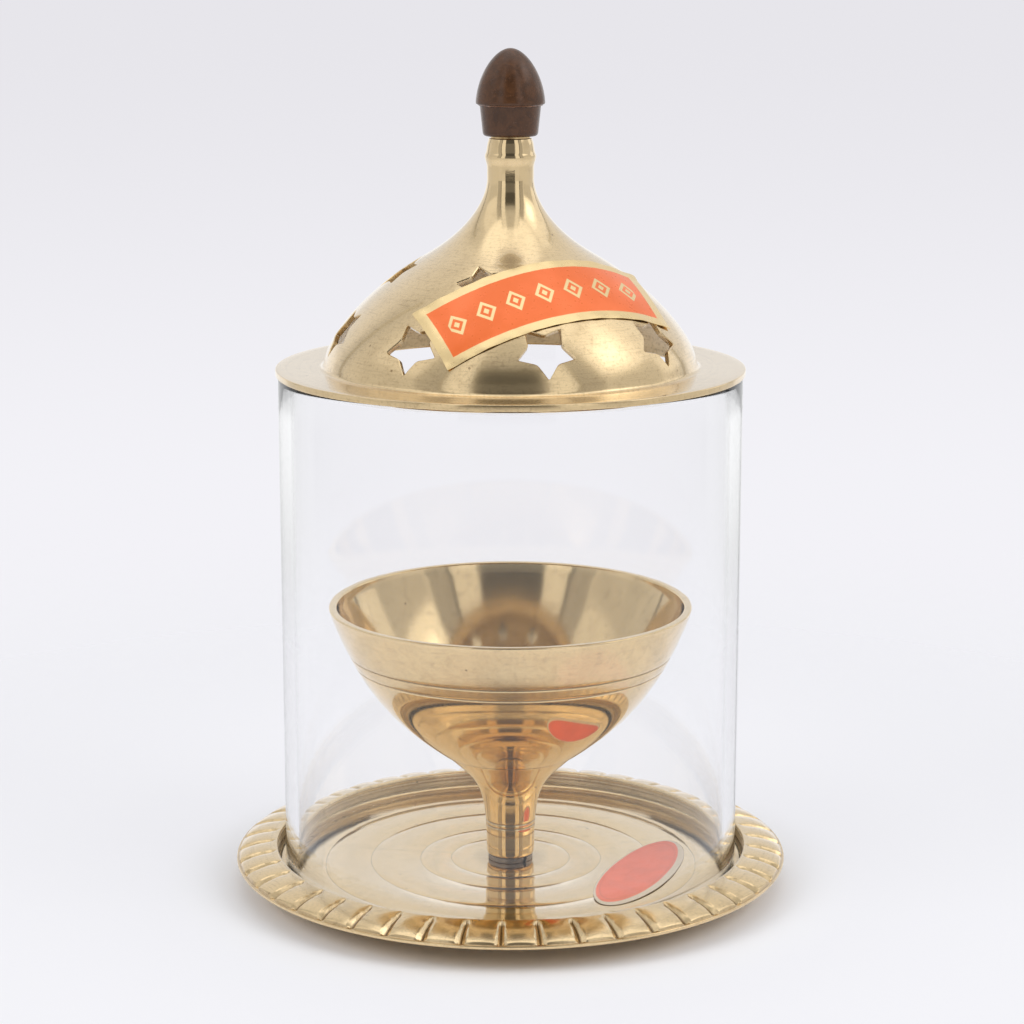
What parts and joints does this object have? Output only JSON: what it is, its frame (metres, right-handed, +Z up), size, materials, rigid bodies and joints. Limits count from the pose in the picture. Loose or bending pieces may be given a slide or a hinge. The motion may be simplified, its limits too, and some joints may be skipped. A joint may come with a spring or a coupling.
{
  "type": "akhand diya",
  "caption": "Standing brass oil lamp: a footed oil bowl on a fluted plate, inside a clear glass chimney that carries a star-pierced domed lid with a dark knob.",
  "frame": {"origin": "middle of the foot ring's lower face, on the table", "axes": "+Z up along the lamp's axis, -Y towards the front that the picture shows"},
  "size_m": [0.134, 0.134, 0.2007],
  "materials": {
    "plate_brass": "polished, with turned lines and dark grooves in the rim",
    "bowl_brass": "turned and polished",
    "lid_brass": "polished",
    "insert_brass": "as machined",
    "screw_steel": "zinc plated",
    "washer_steel": "dark blued",
    "chimney_glass": "clear, fire-polished ends",
    "knob_bakelite": "moulded, glossy",
    "lid_sticker": "printed foil, bare of print",
    "plate_sticker": "coated paper, bare of print"
  },
  "bodies": {
    "base": {"base_plate": "plate_brass", "stem_screw": "screw_steel", "screw_washer": "screw_steel", "plate_label": "plate_sticker"},
    "washer": {"spring_washer": "washer_steel"},
    "bowl": {"bowl_stem": "bowl_brass", "oil_bowl": "bowl_brass"},
    "chimney": {"glass_chimney": "chimney_glass"},
    "lid": {"lid_dome": "lid_brass", "lid_spire": "lid_brass", "tie_stud": "screw_steel", "crown_washer": "screw_steel", "crown_nut": "screw_steel", "knob_insert": "insert_brass", "finial_knob": "knob_bakelite", "lid_label": "lid_sticker"}
  },
  "joints": [
    {"name": "bowl_rise", "type": "slide", "parent": "base", "child": "washer", "axis": [0, 0, 1], "range_m": [0, 0.0081]},
    {"name": "bowl_turn", "type": "hinge", "parent": "washer", "child": "bowl", "pos_m": [0, 0, 0.0057], "axis": [0, 0, 1], "range_deg": [0, 2880]},
    {"name": "chimney_lift", "type": "slide", "parent": "base", "child": "chimney", "axis": [0, 0, 1], "range_m": [0, 0.13]},
    {"name": "lid_lift", "type": "slide", "parent": "chimney", "child": "lid", "axis": [0, 0, 1], "range_m": [0, 0.08]}
  ],
  "couplings": [
    {"joint": "bowl_rise", "follows": "bowl_turn", "m_per_rad": 0.00015915}
  ]
}
